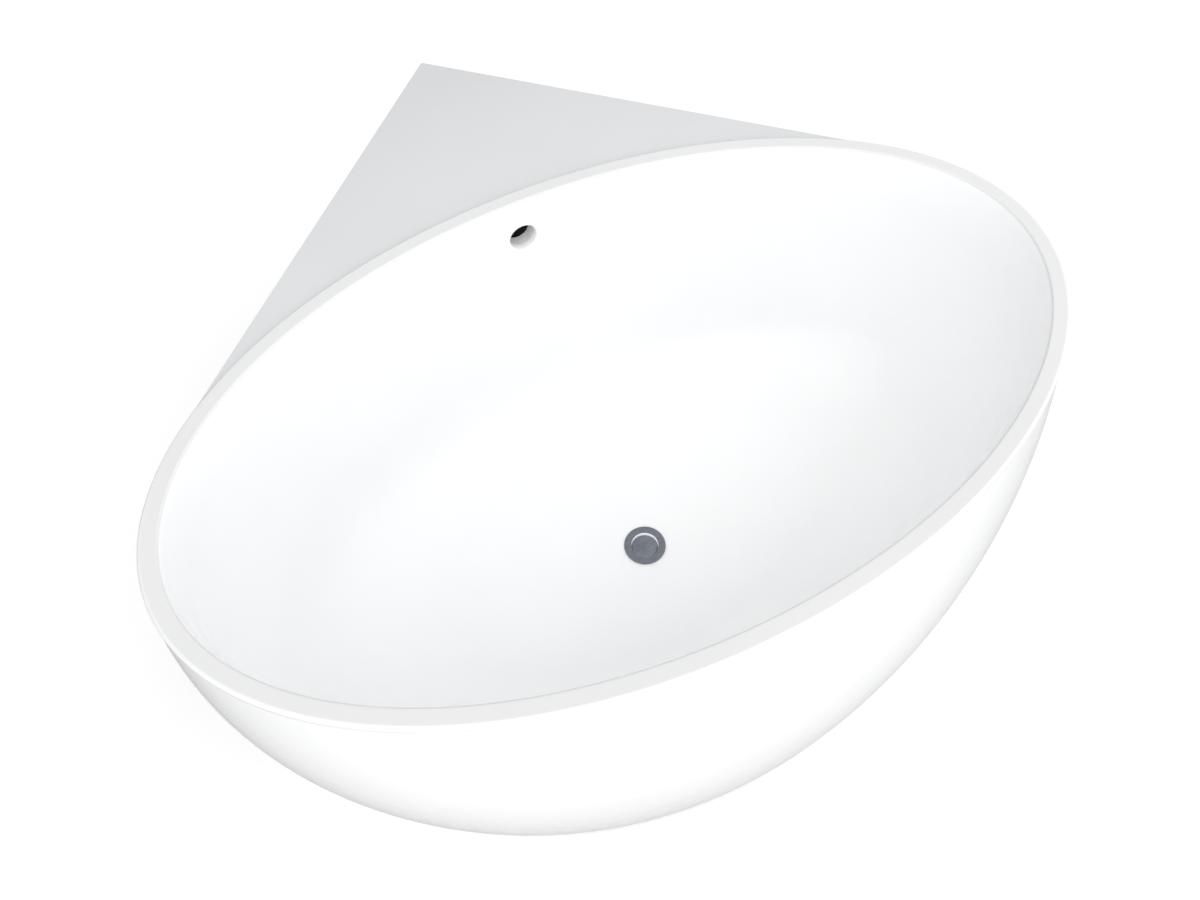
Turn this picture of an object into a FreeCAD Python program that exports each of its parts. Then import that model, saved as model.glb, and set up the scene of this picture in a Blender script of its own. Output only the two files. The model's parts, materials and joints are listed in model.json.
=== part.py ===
"""Corner freestanding bath: an oval acrylic tub set in a curved skirt, with a
triangular deck behind it that fills the corner of the room.

X runs along the oval's long axis, +Y points into the corner, +Z is up and z = 0 is
the floor. The origin is the centre of the footprint's bounding box. All the pieces
are drawn about the centre of the oval and shifted once, when they are saved.
"""
import FreeCAD, Part
import math
import os

from FreeCAD import Matrix, Vector

os.makedirs("parts", exist_ok=True)

# ---- driving dimensions (mm) ----
WALL_SIDE = 1200.0          # length taken along each room wall
OVAL_RATIO = 0.601          # width of the rim oval / its length
RIM_HEIGHT = 600.0
RIM_WIDTH = 28.5            # flat rim, outer edge to basin
RIM_LIP = 14.0              # depth of the rim's edge
RIM_OUTER_ROUND = 6.0
RIM_INNER_ROUND = 3.0
SHELL_WALL = 5.0

# basin: upright at the rim, a long shallow curve, a tight one, then the floor
FLOOR_Z = 106.0
UPPER_CURVE = 900.0
LOWER_CURVE = 180.0
UPPER_TURN = math.radians(17.0)
LOWER_TURN = math.radians(88.0)
FLAT_RADIUS = 95.0          # level part of the floor, across the bath

# skirt: half axes swell by SPREAD * u and draw in by TUCK * u * u down its height
SKIRT_WALL = 4.0
SKIRT_GAP = 8.0             # clear of the floor
END_SPREAD = 0.170
END_TUCK = 0.250
FRONT_SPREAD = 0.273
FRONT_TUCK = 0.196
SKIRT_SECTIONS = 7

# corner body behind the oval
PANEL = 16.0
DECK_DROP = 6.0             # deck surface below the rim
DECK_THICK = 5.0
DECK_JOINT = 0.8            # joint between rim and deck
DECK_ROUND = 1.5
LEDGER_WIDTH = 30.0
LEDGER_THICK = 15.0
POST = 44.0
FIT = 0.3                   # play beside a moving piece
OVERRUN = 5.0               # how far a cutting tool runs past the piece

# support frame
RAIL = 30.0
RAIL_WALL = 2.0
BOARD_THICK = 15.0
CROSS_X = 330.0
CROSS_FRONT = -420.0
LONG_Y = 130.0
RING_THICK = 12.0
RING_WIDTH = 40.0
BOARD_GAP = 60.0            # half the gap between the two boards, for the trap

# levelling feet
STUD_R = 5.0
PAD_R = 20.0
PAD_THICK = 8.0
PAD_EDGE = 3.0
CHAMFER = 1.0
STUD_TOP = 132.0
STUD_ROOM = 10.0            # bore left above a stud, for winding it in
NUT_HEIGHT = 8.0
NUT_FLATS = 17.0

# waste and plug
WASTE_Y = -46.0
FLANGE_R = 39.5
FLANGE_THICK = 2.0
SEAL_THICK = 1.0
BORE_R = 25.9
SEAT_R = 21.5
SLEEVE_R = 28.3
SEAT_DROP = 11.0            # seat below the top of the flange
PLUG_R = 23.8
PLUG_EDGE = 2.0
PLUG_DOME = 4.0
TRAP_R = 50.0
TRAP_WALL = 3.0
TRAP_FLOOR = 12.0
PIPE_AXIS_Z = 34.0
TRAP_NECK = 10.0            # clear of the trap's roof to its top flange
TRAP_NECK_WALL = 5.0
TRAP_FLANGE = 16.0          # how far the trap's top flange reaches past the waste's sleeve
TRAP_FLANGE_THICK = 4.0
SEAL_BELOW = 3.0
SEAL_BELOW_REACH = 14.0
SEAL_ABOVE_INSET = 1.5
WASTE_PIPE_R = 20.0
WASTE_PIPE_WALL = 2.0
WALL_SOCKET_R = 20.25       # inside the socket that takes the wall's own pipe
WALL_SOCKET = 40.0
WALL_SOCKET_FLARE = 5.0
FITTING_WALL = 3.0          # wall of the moulded sockets
SPIGOT_END = 80.0           # from the trap's axis
SOCKET_START = 62.0
PIPE_CLEARANCE = 12.0       # opening round the waste pipe in the left panel
SLEEVE_END = 78.0
BOSS_R = 8.0
BOSS_LOW = 80.0
BOSS_HEIGHT = 10.0
ARM_WIDTH = 3.0
ARM_HEIGHT = 4.0
PLUG_SEAL = 1.2
PLUG_SEAL_INSET = 0.6
PLUG_LIFT = 9.0
COLLAR_THICK = 3.0
WASTE_NUT_FLATS = 52.0
WASTE_NUT_LENGTH = 18.0

# overflow
OVERFLOW_Z = 518.0
OVERFLOW_R = 25.0
OVERFLOW_TUBE_R = 14.0
OVERFLOW_TUBE_WALL = 2.0
OVERFLOW_BEND = 45.0
ELBOW_R = 30.0
ELBOW_DEPTH = 36.0
ELBOW_LEG = 60.0
ELBOW_FLANGE = 4.0          # how far the elbow's flange stands out
ELBOW_MOUTH = 10.0          # depth of the elbow's narrow mouth
SOCKET = 20.0
SEAL_BEHIND = 3.0
OVERFLOW_SLEEVE = 23.0
OVERFLOW_SLEEVE_WALL = 1.5
OVERFLOW_SLEEVE_PROUD = 0.8
OVERFLOW_NUT_FLATS = 36.0
OVERFLOW_NUT_LENGTH = 14.0

# fixings
SCREW_R = 2.2
SCREW_HEAD_R = 4.5
SCREW_HEIGHTS = (160.0, 350.0, 540.0)
BOARD_SCREW_X = (-280.0, -100.0, 100.0, 280.0)
BOARD_SCREW_SHORT = 5.0     # how far a screw stops below the board's face
BRACKET_WIDTH = 30.0
BRACKET_FOOT = 34.0
BRACKET_LEG = 36.0
BRACKET_STEEL = 2.0
BRACKET_TURNS = [math.radians(turn) for turn in (-165, -135, -90, -45, -15)]

# ---- worked out from the above ----
OVAL_A = WALL_SIDE / math.sqrt(2.0 * (1.0 + OVAL_RATIO ** 2))
OVAL_B = OVAL_RATIO * OVAL_A
CORNER_Y = math.hypot(OVAL_A, OVAL_B)
BASIN_A = OVAL_A - RIM_WIDTH
BASIN_B = OVAL_B - RIM_WIDTH
SKIRT_TOP = RIM_HEIGHT - RIM_LIP
FRONT_REACH = OVAL_B + OVAL_A * FRONT_SPREAD ** 2 / (4.0 * FRONT_TUCK)
OVAL_Y = (FRONT_REACH - CORNER_Y) / 2.0
DECK_TOP = RIM_HEIGHT - DECK_DROP
DECK_BOTTOM = DECK_TOP - DECK_THICK
PANEL_FACE = CORNER_Y - PANEL * math.sqrt(2.0)
UNDERSIDE = FLOOR_Z - SHELL_WALL
RAIL_TOP = UNDERSIDE - BOARD_THICK
RAIL_BOTTOM = RAIL_TOP - RAIL
POST_Y = PANEL_FACE - POST / math.sqrt(2.0)
POST_BOTTOM = RAIL_BOTTOM + NUT_HEIGHT
WALL_DISTANCE = CORNER_Y / math.sqrt(2.0)
WASTE_TO_WALL = (CORNER_Y - WASTE_Y) / math.sqrt(2.0)
TRAP_TOP = UNDERSIDE - SEAL_BELOW
ELBOW_END = OVERFLOW_Z - ELBOW_R / 2.0 - ELBOW_LEG
FLANGE_TOP = FLOOR_Z + SEAL_THICK + FLANGE_THICK
SEAT_Z = FLANGE_TOP - SEAT_DROP
TUBE_Y = BASIN_B + SHELL_WALL + SEAL_BEHIND + ELBOW_DEPTH / 2.0
FEET = [(-CROSS_X, -330.0), (CROSS_X, -330.0), (-CROSS_X, 380.0), (CROSS_X, 380.0), (0.0, POST_Y)]


def save(name, shape):
    """Shift a finished piece to the bath's own origin and write it."""
    moved = shape.copy()
    moved.translate(Vector(0, OVAL_Y, 0))
    moved.exportStep("parts/%s.step" % name)


def polar(centre, radius, turn):
    """A point of a profile, turned down from the horizontal about its centre."""
    return Vector(centre[0] + radius * math.cos(turn), 0, centre[1] - radius * math.sin(turn))


def arc(centre, radius, start, end):
    middle = (start + end) / 2.0
    points = [polar(centre, radius, turn) for turn in (start, middle, end)]
    return Part.Arc(*points).toShape()


def revolve(edges):
    return Part.Face(Part.Wire(edges)).revolve(Vector(0, 0, 0), Vector(0, 0, 1), 360)


def polygon_face(points):
    return Part.Face(Part.makePolygon(points + points[:1]))


def turned(points):
    """A turned piece about Z from its (radius, height) outline."""
    outline = [Vector(r, 0, z) for r, z in points]
    return polygon_face(outline).revolve(Vector(0, 0, 0), Vector(0, 0, 1), 360)


def at(shape, x, y, z=0.0):
    shape.translate(Vector(x, y, z))
    return shape


def ellipse(a, b, z):
    return Part.Wire(Part.Ellipse(Vector(0, 0, z), a, b).toShape())


def oval_slab(a, b, low, high):
    return Part.Face(ellipse(a, b, low)).extrude(Vector(0, 0, high - low))


def box(x0, y0, z0, x1, y1, z1):
    return Part.makeBox(x1 - x0, y1 - y0, z1 - z0, Vector(x0, y0, z0))


def ring(outer, inner, low, high):
    height = high - low
    return Part.makeCylinder(outer, height, Vector(0, 0, low)).cut(
        Part.makeCylinder(inner, height, Vector(0, 0, low)))


def hex_nut(flats, hole, low, high):
    """A hexagon nut with its corners chamfered top and bottom."""
    across = flats / math.sqrt(3.0)
    corners = [Vector(across * math.cos(k * math.pi / 3), across * math.sin(k * math.pi / 3), low)
               for k in range(6)]
    body = polygon_face(corners).extrude(Vector(0, 0, high - low))
    bevel = 0.9 * (across - flats / 2.0)
    limit = turned([(0, low), (across - bevel, low), (across, low + bevel),
                    (across, high - bevel), (across - bevel, high), (0, high)])
    hole_tool = Part.makeCylinder(hole, high - low, Vector(0, 0, low))
    return body.common(limit).cut(hole_tool)


def screw(head, shank, length):
    """A pan head screw: head on the -Z side of the origin, shank along +Z."""
    dome = turned([(0, -head * 0.6), (head * 0.7, -head * 0.6), (head, -head * 0.25),
                   (head, 0), (0, 0)])
    return dome.fuse(turned([(0, 0), (shank, 0), (shank, length - shank), (0, length)]))


# ---- basin ----
def basin_solid(grow, top):
    """The basin's hollow, or with grow > 0 its outside, as one solid up to top."""
    first = (BASIN_B - UPPER_CURVE, 0.0)
    shift = UPPER_CURVE - LOWER_CURVE
    second = (first[0] + shift * math.cos(UPPER_TURN), -shift * math.sin(UPPER_TURN))
    toe = polar(second, LOWER_CURVE, LOWER_TURN)
    drop = -toe.z + (toe.x - FLAT_RADIUS) * math.tan(math.pi / 2 - LOWER_TURN)
    wall_end = FLOOR_Z + drop
    first = (first[0], wall_end)
    second = (second[0], second[1] + wall_end)
    upper = arc(first, UPPER_CURVE + grow, 0.0, UPPER_TURN)
    lower = arc(second, LOWER_CURVE + grow, UPPER_TURN, LOWER_TURN)
    toe = polar(second, LOWER_CURVE + grow, LOWER_TURN)
    flat = Vector(FLAT_RADIUS, 0, FLOOR_Z - grow)
    edges = [upper, lower, Part.makeLine(toe, flat), Part.makeLine(flat, Vector(0, 0, flat.z)),
             Part.makeLine(Vector(0, 0, flat.z), Vector(0, 0, top))]
    wall = BASIN_B + grow
    if grow:
        edges.append(Part.makeLine(Vector(0, 0, top), Vector(wall, 0, top)))
        edges.append(Part.makeLine(Vector(wall, 0, top), Vector(wall, 0, wall_end)))
    else:
        lip = (wall + RIM_INNER_ROUND, RIM_HEIGHT - RIM_INNER_ROUND)
        start = polar(lip, RIM_INNER_ROUND, math.pi)
        end = polar(lip, RIM_INNER_ROUND, 1.5 * math.pi)
        over = Vector(end.x, 0, top)
        edges.append(Part.makeLine(Vector(0, 0, top), over))
        edges.append(Part.makeLine(over, end))
        edges.append(arc(lip, RIM_INNER_ROUND, 1.5 * math.pi, math.pi))
        edges.append(Part.makeLine(start, Vector(wall, 0, wall_end)))
    solid = revolve(Part.__sortEdges__(edges))
    stretch = Matrix()
    stretch.scale((BASIN_A + grow) / (BASIN_B + grow), 1.0, 1.0)
    return solid.transformGeometry(stretch)


def bath_shell():
    rim = oval_slab(OVAL_A, OVAL_B, SKIRT_TOP, RIM_HEIGHT)
    edges = [e for e in rim.Edges if e.BoundBox.ZMin > RIM_HEIGHT - 0.1]
    rim = rim.makeFillet(RIM_OUTER_ROUND, edges)
    shell = rim.fuse(basin_solid(SHELL_WALL, SKIRT_TOP + RIM_LIP / 2))
    shell = shell.cut(basin_solid(0.0, RIM_HEIGHT + RIM_LIP))
    shell = shell.cut(Part.makeCylinder(SLEEVE_R + FIT, 4 * SHELL_WALL,
                                        Vector(0, WASTE_Y, UNDERSIDE - SHELL_WALL)))
    bore = Part.makeCylinder(OVERFLOW_R, 6 * SHELL_WALL)
    return shell.cut(along_y(bore, BASIN_B - 3 * SHELL_WALL, OVERFLOW_Z))


def along_y(shape, y, z):
    """Turn a piece drawn along Z to point along +Y and place it."""
    shape.rotate(Vector(0, 0, 0), Vector(1, 0, 0), -90)
    return at(shape, 0, y, z)


# ---- outer body ----
def skirt_axes(z):
    u = (SKIRT_TOP - z) / (SKIRT_TOP - SKIRT_GAP)
    a = OVAL_A * (1 + END_SPREAD * u - END_TUCK * u * u)
    b = OVAL_B + OVAL_A * (FRONT_SPREAD * u - FRONT_TUCK * u * u)
    return a, b


def skirt_solid(inset, low, high):
    wires = []
    for k in range(SKIRT_SECTIONS):
        z = low + (high - low) * k / (SKIRT_SECTIONS - 1)
        a, b = skirt_axes(z)
        wires.append(ellipse(a - inset, b - inset, z))
    return Part.makeLoft(wires, True, False)


def corner_prism(reach, low, high):
    """The room's corner: everything in front of both walls, up to reach."""
    side = 2.0 * WALL_SIDE
    points = [Vector(0, reach, low), Vector(-side, reach - side, low), Vector(side, reach - side, low)]
    return polygon_face(points).extrude(Vector(0, 0, high - low))


def front_part(shape, low, high):
    """Keep what lies in front of the back panels and of the oval's rear."""
    tangent_y = OVAL_B ** 2 / CORNER_Y
    rear = box(-OVAL_A, tangent_y, low, OVAL_A, CORNER_Y, high)
    return shape.common(corner_prism(PANEL_FACE - FIT, low, high)).cut(rear)


def outer_skirt():
    ring_solid = skirt_solid(0.0, SKIRT_GAP, SKIRT_TOP).cut(
        skirt_solid(SKIRT_WALL, SKIRT_GAP - OVERRUN, SKIRT_TOP + OVERRUN))
    return front_part(ring_solid, 0, RIM_HEIGHT)


def plinth_ring():
    low = RAIL_BOTTOM - RING_THICK
    a, b = skirt_axes(low)
    inset = SKIRT_WALL + FIT
    outer = oval_slab(a - inset, b - inset, low, RAIL_BOTTOM)
    inner = oval_slab(a - inset - RING_WIDTH, b - inset - RING_WIDTH, low, RAIL_BOTTOM)
    return front_part(outer.cut(inner), 0, RIM_HEIGHT)


def corner_wedge(reach, low, high):
    """The triangle behind the oval, from the corner to where the walls meet it."""
    x = OVAL_A ** 2 / CORNER_Y
    y = OVAL_B ** 2 / CORNER_Y
    back = CORNER_Y - reach
    points = [Vector(0, reach, low), Vector(-x, y - back, low), Vector(x, y - back, low)]
    return polygon_face(points).extrude(Vector(0, 0, high - low))


def corner_deck():
    plate = corner_wedge(CORNER_Y, DECK_BOTTOM, DECK_TOP)
    edges = [e for e in plate.Edges
             if e.BoundBox.ZMin > DECK_TOP - 0.1 and e.BoundBox.YMax > CORNER_Y - 1]
    plate = plate.makeFillet(DECK_ROUND, edges)
    hollow = oval_slab(OVAL_A + DECK_JOINT, OVAL_B + DECK_JOINT, DECK_BOTTOM - OVERRUN, DECK_TOP + OVERRUN)
    return plate.cut(hollow)


def deck_ledger():
    low = DECK_BOTTOM - LEDGER_THICK
    inner = DECK_JOINT
    outer = inner + LEDGER_WIDTH
    strip = oval_slab(OVAL_A + outer, OVAL_B + outer, low, DECK_BOTTOM)
    strip = strip.cut(oval_slab(OVAL_A + inner, OVAL_B + inner, low - OVERRUN, DECK_BOTTOM + OVERRUN))
    return strip.common(corner_wedge(PANEL_FACE, low, DECK_BOTTOM))


def wall_turn(shape, side):
    """Turn a piece drawn facing +Y to face the right (+1) or left (-1) wall."""
    shape.rotate(Vector(0, 0, 0), Vector(0, 0, 1), -45 * side)
    return shape


def wall_slab(side):
    slab = box(-WALL_SIDE, WALL_DISTANCE - PANEL, SKIRT_GAP, WALL_SIDE, WALL_DISTANCE, DECK_BOTTOM)
    return wall_turn(slab, side)


def panel_screws(side):
    """A column of screws through one back panel into the corner post."""
    screws = []
    for z in SCREW_HEIGHTS:
        piece = screw(SCREW_HEAD_R, SCREW_R, PANEL + POST / 2)
        piece.rotate(Vector(0, 0, 0), Vector(1, 0, 0), 90)
        along = -side * (WALL_DISTANCE - PANEL - POST / 2)
        screws.append(wall_turn(at(piece, along, WALL_DISTANCE - SCREW_HEAD_R, z), side))
    return screws


def cut_all(shape, tools):
    for tool in tools:
        shape = shape.cut(tool)
    return shape


def toward_left(shape, start):
    """Point a piece drawn along Z at the left wall, start mm from the waste's axis."""
    shape.rotate(Vector(0, 0, 0), Vector(0, 1, 0), 90)
    shape.translate(Vector(start, 0, PIPE_AXIS_Z))
    shape.rotate(Vector(0, 0, 0), Vector(0, 0, 1), 135)
    return at(shape, 0, WASTE_Y)


def back_panel(side, screws):
    """A board on one wall; its front edge follows the skirt down to the floor."""
    body = skirt_solid(0.0, SKIRT_GAP, SKIRT_TOP).fuse(corner_wedge(CORNER_Y, SKIRT_GAP, DECK_BOTTOM))
    panel = body.common(wall_slab(side))
    panel = panel.cut(oval_slab(OVAL_A + DECK_JOINT, OVAL_B + DECK_JOINT, SKIRT_TOP, RIM_HEIGHT))
    if side < 0:
        opening = Part.makeCylinder(WASTE_PIPE_R + PIPE_CLEARANCE, 4 * PANEL)
        panel = panel.cut(wall_slab(1)).cut(toward_left(opening, WASTE_TO_WALL - 3 * PANEL))
    return cut_all(panel, screws)


def corner_post(screws):
    post = box(-POST / 2, -POST / 2, POST_BOTTOM, POST / 2, POST / 2, DECK_BOTTOM)
    post = at(wall_turn(post, 1), 0, POST_Y)
    bore = Part.makeCylinder(STUD_R + FIT, STUD_TOP + STUD_ROOM, Vector(0, POST_Y, 0))
    return cut_all(post, screws + [bore])


# ---- support frame ----
def tube(x0, y0, x1, y1, along_x):
    """A square steel tube between two corners, open at both ends."""
    dx, dy = (0, RAIL_WALL) if along_x else (RAIL_WALL, 0)
    inner = box(x0 + dx, y0 + dy, RAIL_BOTTOM + RAIL_WALL, x1 - dx, y1 - dy, RAIL_TOP - RAIL_WALL)
    return box(x0, y0, RAIL_BOTTOM, x1, y1, RAIL_TOP).cut(inner)


def cross_rail(side):
    """A rail across the bath, mitred against the back panel, drilled for two feet."""
    half = RAIL / 2
    rail = tube(side * CROSS_X - half, CROSS_FRONT, side * CROSS_X + half, CORNER_Y, False)
    rail = rail.common(corner_prism(PANEL_FACE, 0, RIM_HEIGHT))
    holes = [Part.makeCylinder(STUD_R + FIT, RIM_HEIGHT, Vector(x, y, 0))
             for x, y in FEET if x * side > 0]
    return cut_all(rail, holes)


def long_rail(side, screws):
    half = RAIL / 2
    reach = CROSS_X - half
    return cut_all(tube(-reach, side * LONG_Y - half, reach, side * LONG_Y + half, True), screws)


def board_screws():
    spots = [(x, y) for x in BOARD_SCREW_X for y in (-LONG_Y, LONG_Y)]
    length = RAIL + BOARD_THICK - BOARD_SCREW_SHORT
    return [at(screw(SCREW_HEAD_R, SCREW_R, length), x, y, RAIL_BOTTOM) for x, y in spots]


def base_board(side, screws):
    """Half of the plywood that spreads the tub's load; its corners are rounded in plan."""
    reach, half = CROSS_X + RAIL / 2, LONG_Y + RAIL / 2
    low, high = sorted((side * BOARD_GAP, side * reach))
    board = box(low, -half, RAIL_TOP, high, half, UNDERSIDE)
    upright = [e for e in board.Edges if e.BoundBox.ZLength > BOARD_THICK / 2]
    return cut_all(board.makeFillet(RAIL, upright), screws)


def on_ring(shape, turn):
    """Move a piece drawn at the origin, outward along +X, to the plinth ring's edge."""
    a, b = (half - SKIRT_WALL - FIT for half in skirt_axes(RAIL_BOTTOM - RING_THICK))
    slope = math.degrees(math.atan2(a * math.sin(turn), b * math.cos(turn)))
    shape.rotate(Vector(0, 0, 0), Vector(0, 0, 1), slope)
    return at(shape, a * math.cos(turn), b * math.sin(turn), RAIL_BOTTOM)


def skirt_bracket(turn):
    """A folded steel angle: its foot on the plinth ring, its leg behind the skirt."""
    half = BRACKET_WIDTH / 2
    foot = box(-BRACKET_FOOT, -half, 0, -BRACKET_STEEL, half, BRACKET_STEEL)
    leg = box(-2 * BRACKET_STEEL, -half, 0, -BRACKET_STEEL, half, BRACKET_LEG)
    return on_ring(foot.fuse(leg).removeSplitter(), turn)


def bracket_screw(turn):
    piece = screw(SCREW_HEAD_R, SCREW_R, RING_THICK)
    piece.rotate(Vector(0, 0, 0), Vector(1, 0, 0), 180)
    return on_ring(at(piece, -BRACKET_FOOT / 2, 0, BRACKET_STEEL), turn)


# ---- levelling feet ----
def foot_pad(x, y):
    pad = turned([(0, 0), (PAD_R - CHAMFER, 0), (PAD_R, CHAMFER), (PAD_R, PAD_EDGE),
                  (PAD_R / 2, PAD_THICK), (0, PAD_THICK)])
    return at(pad, x, y)


def foot_stud(x, y):
    stud = turned([(0, PAD_THICK), (STUD_R, PAD_THICK), (STUD_R, STUD_TOP - CHAMFER),
                   (STUD_R - CHAMFER, STUD_TOP), (0, STUD_TOP)])
    return at(stud, x, y)


def foot_nuts():
    """A lock nut below and above each rail, and one below the post."""
    nuts = []
    for x, y in FEET:
        low = RAIL_BOTTOM if x == 0 else RAIL_BOTTOM - NUT_HEIGHT
        nuts.append(at(hex_nut(NUT_FLATS, STUD_R + FIT, low, low + NUT_HEIGHT), x, y))
        if x:
            nuts.append(at(hex_nut(NUT_FLATS, STUD_R + FIT, RAIL_TOP, RAIL_TOP + NUT_HEIGHT), x, y))
    return nuts


# ---- waste ----
def waste_flange():
    """The chromed waste: a flat flange and a threaded sleeve with a seat inside."""
    under = FLANGE_TOP - FLANGE_THICK
    edge = FLANGE_THICK * 0.4
    outline = [(BORE_R, SEAT_Z), (SEAT_R, SEAT_Z), (SEAT_R, SLEEVE_END), (SLEEVE_R, SLEEVE_END),
               (SLEEVE_R, under), (FLANGE_R, under), (FLANGE_R, FLANGE_TOP - edge),
               (FLANGE_R - edge, FLANGE_TOP), (BORE_R + edge, FLANGE_TOP), (BORE_R, FLANGE_TOP - edge)]
    return at(turned(outline), 0, WASTE_Y)


def waste_spider():
    """The cross inside the sleeve, with the boss that guides the plug's stem."""
    boss = Part.makeCylinder(BOSS_R, BOSS_HEIGHT, Vector(0, 0, BOSS_LOW))
    for k in range(3):
        low = BOSS_LOW + (BOSS_HEIGHT - ARM_HEIGHT) / 2
        arm = box(0, -ARM_WIDTH / 2, low, SLEEVE_R, ARM_WIDTH / 2, low + ARM_HEIGHT)
        arm.rotate(Vector(0, 0, 0), Vector(0, 0, 1), 120 * k)
        boss = boss.fuse(arm)
    boss = boss.common(Part.makeCylinder(SEAT_R, RIM_HEIGHT))
    return at(boss.cut(Part.makeCylinder(STUD_R + FIT, RIM_HEIGHT)), 0, WASTE_Y)


def plug_cap():
    """A shallow dome on a short upright edge, cut from a ball."""
    base = SEAT_Z + FIT + PLUG_SEAL
    ball = (PLUG_R ** 2 + PLUG_DOME ** 2) / (2 * PLUG_DOME)
    top = base + PLUG_EDGE + PLUG_DOME
    dome = Part.makeSphere(ball, Vector(0, 0, top - ball))
    return at(Part.makeCylinder(PLUG_R, top - base, Vector(0, 0, base)).common(dome), 0, WASTE_Y)


def plug_stem():
    """The plug's stem, with the collar that stops it coming out."""
    top = SEAT_Z + FIT + PLUG_SEAL
    collar = BOSS_LOW - PLUG_LIFT - FIT
    under = collar - COLLAR_THICK
    return at(turned([(0, under), (BOSS_R, under), (BOSS_R, collar), (STUD_R, collar),
                      (STUD_R, top), (0, top)]), 0, WASTE_Y)


def trap_body():
    """A shallow trap: a cup under the waste, an inlet at the back, an outlet at 45 degrees."""
    roof = SEAT_Z - SEAL_BELOW - TRAP_NECK
    neck, flange, under = SLEEVE_R + TRAP_NECK_WALL, SLEEVE_R + TRAP_FLANGE, TRAP_TOP - TRAP_FLANGE_THICK
    cup = turned([(0, TRAP_FLOOR), (TRAP_R, TRAP_FLOOR), (TRAP_R, roof), (neck, roof), (neck, under),
                  (flange, under), (flange, TRAP_TOP), (0, TRAP_TOP)])
    start = TRAP_R / 2
    inlet = Part.makeCylinder(OVERFLOW_TUBE_R + FITTING_WALL, SPIGOT_END - start)
    outlet = Part.makeCylinder(WASTE_PIPE_R + FITTING_WALL, SPIGOT_END - start)
    body = at(cup.fuse(along_y(inlet, start, PIPE_AXIS_Z)), 0, WASTE_Y).fuse(toward_left(outlet, start))
    inner, floor, ceiling = TRAP_R - TRAP_WALL, TRAP_FLOOR + TRAP_WALL, roof - TRAP_WALL
    hollow = turned([(0, floor), (inner, floor), (inner, ceiling), (SLEEVE_R, ceiling),
                     (SLEEVE_R, TRAP_TOP), (0, TRAP_TOP)])
    body = body.cut(at(hollow, 0, WASTE_Y))
    bore = Part.makeCylinder(OVERFLOW_TUBE_R - OVERFLOW_TUBE_WALL, SPIGOT_END)
    socket = Part.makeCylinder(OVERFLOW_TUBE_R, SPIGOT_END - SOCKET_START)
    body = body.cut(along_y(bore, WASTE_Y, PIPE_AXIS_Z))
    body = body.cut(along_y(socket, WASTE_Y + SOCKET_START, PIPE_AXIS_Z))
    body = body.cut(toward_left(Part.makeCylinder(WASTE_PIPE_R - WASTE_PIPE_WALL, SPIGOT_END), 0))
    return body.cut(toward_left(Part.makeCylinder(WASTE_PIPE_R, SPIGOT_END), SOCKET_START))


def waste_pipe():
    """The pipe to the left wall, with a socket formed in its end for the wall's pipe."""
    bore, end = WASTE_PIPE_R - WASTE_PIPE_WALL, WASTE_TO_WALL - SOCKET_START
    seat, bell = end - WALL_SOCKET, WALL_SOCKET_R + FITTING_WALL
    outline = [(bore, 0), (WASTE_PIPE_R, 0), (WASTE_PIPE_R, seat - 2 * WALL_SOCKET_FLARE),
               (bell, seat - WALL_SOCKET_FLARE), (bell, end), (WALL_SOCKET_R, end),
               (WALL_SOCKET_R, seat), (bore, seat)]
    return toward_left(turned(outline), SOCKET_START)


def waste_nut():
    return toward_left(hex_nut(WASTE_NUT_FLATS, WASTE_PIPE_R, 0, WASTE_NUT_LENGTH), SPIGOT_END)


# ---- overflow ----
def overflow_elbow():
    """The cup behind the overflow hole, with a socket pointing down."""
    wall, flange, back = ELBOW_R - FITTING_WALL, ELBOW_R + ELBOW_FLANGE, ELBOW_DEPTH - FITTING_WALL
    cup = turned([(0, 0), (flange, 0), (flange, FITTING_WALL), (ELBOW_R, FITTING_WALL),
                  (ELBOW_R, ELBOW_DEPTH), (0, ELBOW_DEPTH)])
    hollow = turned([(0, 0), (OVERFLOW_R, 0), (OVERFLOW_R, ELBOW_MOUTH), (wall, ELBOW_MOUTH),
                     (wall, back), (0, back)])
    front = BASIN_B + SHELL_WALL + SEAL_BEHIND
    leg = Part.makeCylinder(OVERFLOW_TUBE_R + FITTING_WALL, ELBOW_LEG, Vector(0, TUBE_Y, ELBOW_END))
    body = along_y(cup, front, OVERFLOW_Z).fuse(leg)
    body = body.cut(along_y(hollow, front, OVERFLOW_Z))
    body = body.cut(Part.makeCylinder(OVERFLOW_TUBE_R, SOCKET, Vector(0, TUBE_Y, ELBOW_END)))
    bore = OVERFLOW_TUBE_R - OVERFLOW_TUBE_WALL
    return body.cut(Part.makeCylinder(bore, ELBOW_LEG, Vector(0, TUBE_Y, ELBOW_END)))


def overflow_pipe():
    """Down the back of the basin, round one bend and forward to the trap."""
    top = Vector(0, TUBE_Y, ELBOW_END + SOCKET)
    down = Vector(0, TUBE_Y, PIPE_AXIS_Z + OVERFLOW_BEND)
    forward = Vector(0, TUBE_Y - OVERFLOW_BEND, PIPE_AXIS_Z)
    end = Vector(0, WASTE_Y + SOCKET_START, PIPE_AXIS_Z)
    inside = OVERFLOW_BEND * (1 - math.sqrt(0.5))
    middle = Vector(0, TUBE_Y - inside, PIPE_AXIS_Z + inside)
    route = Part.Wire([Part.makeLine(top, down), Part.Arc(down, middle, forward).toShape(),
                       Part.makeLine(forward, end)])
    solids = []
    for radius in (OVERFLOW_TUBE_R, OVERFLOW_TUBE_R - OVERFLOW_TUBE_WALL):
        circle = Part.Wire(Part.Circle(top, Vector(0, 0, 1), radius).toShape())
        solids.append(route.makePipeShell([circle], True, True))
    return solids[0].cut(solids[1])


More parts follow.
